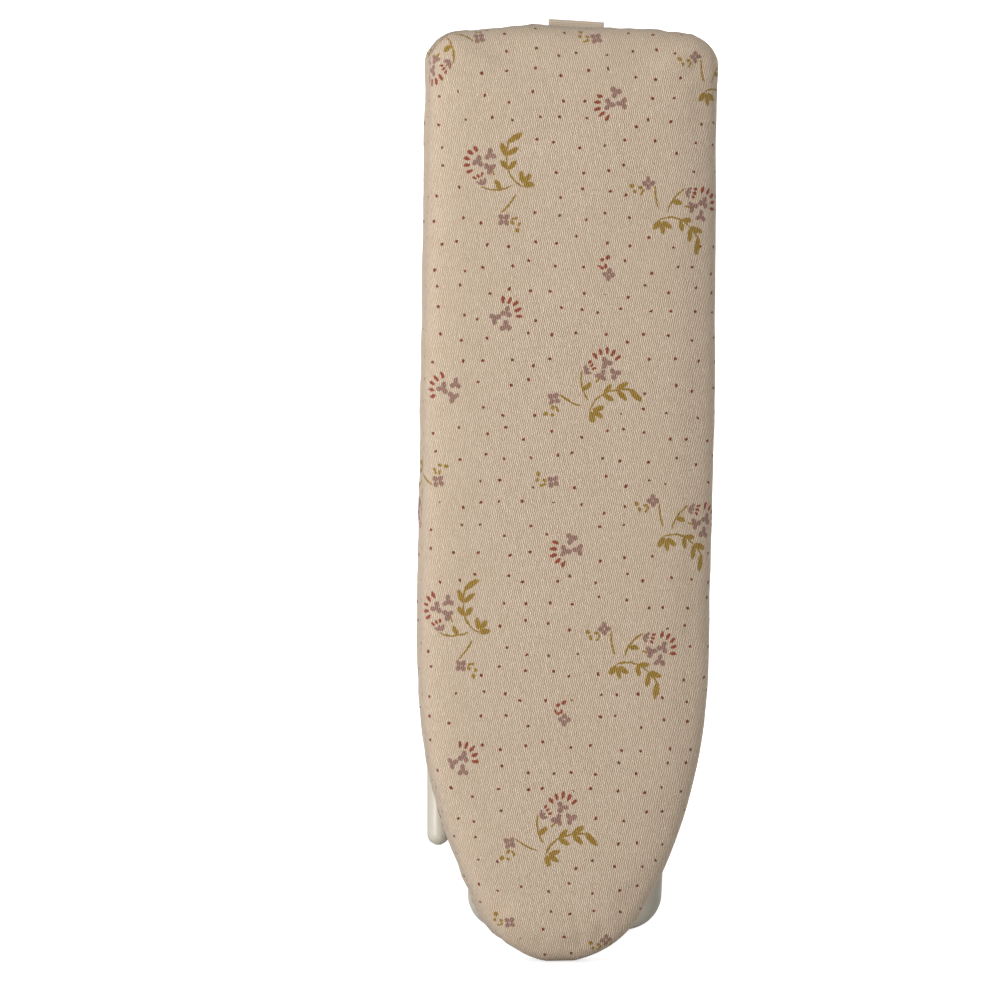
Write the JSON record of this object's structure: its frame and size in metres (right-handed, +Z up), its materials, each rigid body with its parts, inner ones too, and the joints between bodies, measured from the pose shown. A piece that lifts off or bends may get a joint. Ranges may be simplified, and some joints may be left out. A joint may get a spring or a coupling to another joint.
{
  "type": "miniature folding ironing board",
  "caption": "Miniature tapered ironing board with a padded printed cotton cover and crossed folding rod legs, standing on its nose with the legs a little open.",
  "frame": {"origin": "under the rounded nose that the board stands on, in the middle of the whole width and depth", "axes": "+Z up the board from the nose to the square end, -Y the padded side that is ironed on, +Y the underside with the legs, +X to the right when facing the padded side"},
  "size_m": [0.0528, 0.0494, 0.1707],
  "materials": {
    "panel_fibreboard": "matte",
    "foam": "matte",
    "printed_cotton": "matte",
    "hem_cotton": "matte",
    "ribbon": "matte",
    "zinc_steel": "satin",
    "screw_steel": "satin",
    "pin_steel": "satin",
    "leg_paint": "satin"
  },
  "bodies": {
    "board": {"board_panel": "panel_fibreboard", "foam_pad": "foam", "cover": "printed_cotton", "hem_elastic": "hem_cotton", "ribbon_tag": "ribbon", "hinge_bracket_left": "zinc_steel", "hinge_bracket_right": "zinc_steel", "slide_rail_left": "zinc_steel", "slide_rail_right": "zinc_steel", "bracket_screw_left_lower": "screw_steel", "bracket_screw_left_upper": "screw_steel", "bracket_screw_right_lower": "screw_steel", "bracket_screw_right_upper": "screw_steel", "rail_screw_left_lower": "screw_steel", "rail_screw_left_upper": "screw_steel", "rail_screw_right_lower": "screw_steel", "rail_screw_right_upper": "screw_steel"},
    "hinged_leg": {"hinged_leg": "leg_paint", "hinge_pin": "pin_steel", "pivot_rivet_left": "pin_steel", "pivot_rivet_right": "pin_steel", "pivot_spacer_left": "pin_steel", "pivot_spacer_right": "pin_steel"},
    "sliding_leg": {"sliding_leg": "leg_paint", "slide_rod": "pin_steel"}
  },
  "joints": [
    {"name": "leg_fold", "type": "hinge", "parent": "board", "child": "hinged_leg", "pos_m": [0, -0.00931, 0.02381], "axis": [-1, 0, 0], "range_deg": [-9, 32]},
    {"name": "leg_cross", "type": "hinge", "parent": "hinged_leg", "child": "sliding_leg", "pos_m": [0, 0.00418, 0.08227], "axis": [1, 0, 0], "range_deg": [-18, 64]}
  ],
  "couplings": [
    {"joint": "leg_cross", "follows": "leg_fold", "ratio": 2}
  ]
}
